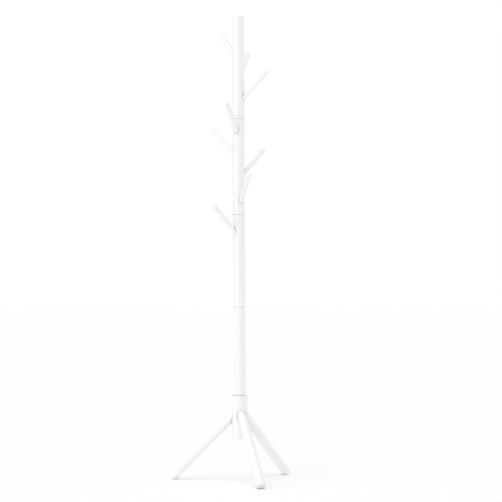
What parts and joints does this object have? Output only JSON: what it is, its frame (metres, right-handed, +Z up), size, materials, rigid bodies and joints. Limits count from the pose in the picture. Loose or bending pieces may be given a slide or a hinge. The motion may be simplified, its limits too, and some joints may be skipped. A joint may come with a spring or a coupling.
{
  "type": "standing coat rack",
  "caption": "Free-standing round wooden coat tree, white satin finish: straight screwed post with upward angled pegs, and splayed legs plugged into a thicker hub.",
  "frame": {"origin": "on the floor, under the middle of the object's bounding box", "axes": "+Z up along the post; -Y is the front, the side that one leg and two pegs point towards; +X is to the right seen from the front"},
  "size_m": [0.4596, 0.4678, 1.7498],
  "materials": {
    "white_wood": "smooth satin white lacquer over solid wood",
    "zinc_steel": "bright zinc plated steel",
    "insert_alloy": "yellow passivated metal",
    "foot_rubber": "matt light grey anti-slip rubber"
  },
  "bodies": {
    "root": {"hub": "white_wood", "post_section_1": "white_wood", "post_section_2": "white_wood", "post_section_3": "white_wood", "post_section_4": "white_wood", "joint_stud_1": "zinc_steel", "joint_insert_1": "insert_alloy", "joint_stud_2": "zinc_steel", "joint_insert_2": "insert_alloy", "joint_stud_3": "zinc_steel", "joint_insert_3": "insert_alloy", "joint_stud_4": "zinc_steel", "joint_insert_4": "insert_alloy", "peg_1": "white_wood", "peg_screw_1": "zinc_steel", "peg_2": "white_wood", "peg_screw_2": "zinc_steel", "peg_3": "white_wood", "peg_screw_3": "zinc_steel", "peg_4": "white_wood", "peg_screw_4": "zinc_steel", "peg_5": "white_wood", "peg_screw_5": "zinc_steel", "peg_6": "white_wood", "peg_screw_6": "zinc_steel", "peg_7": "white_wood", "peg_screw_7": "zinc_steel", "peg_8": "white_wood", "peg_screw_8": "zinc_steel", "leg_front": "white_wood", "leg_bolt_front": "zinc_steel", "leg_insert_front": "insert_alloy", "foot_pad_front": "foot_rubber", "leg_right": "white_wood", "leg_bolt_right": "zinc_steel", "leg_insert_right": "insert_alloy", "foot_pad_right": "foot_rubber", "leg_left": "white_wood", "leg_bolt_left": "zinc_steel", "leg_insert_left": "insert_alloy", "foot_pad_left": "foot_rubber"}
  },
  "joints": []
}
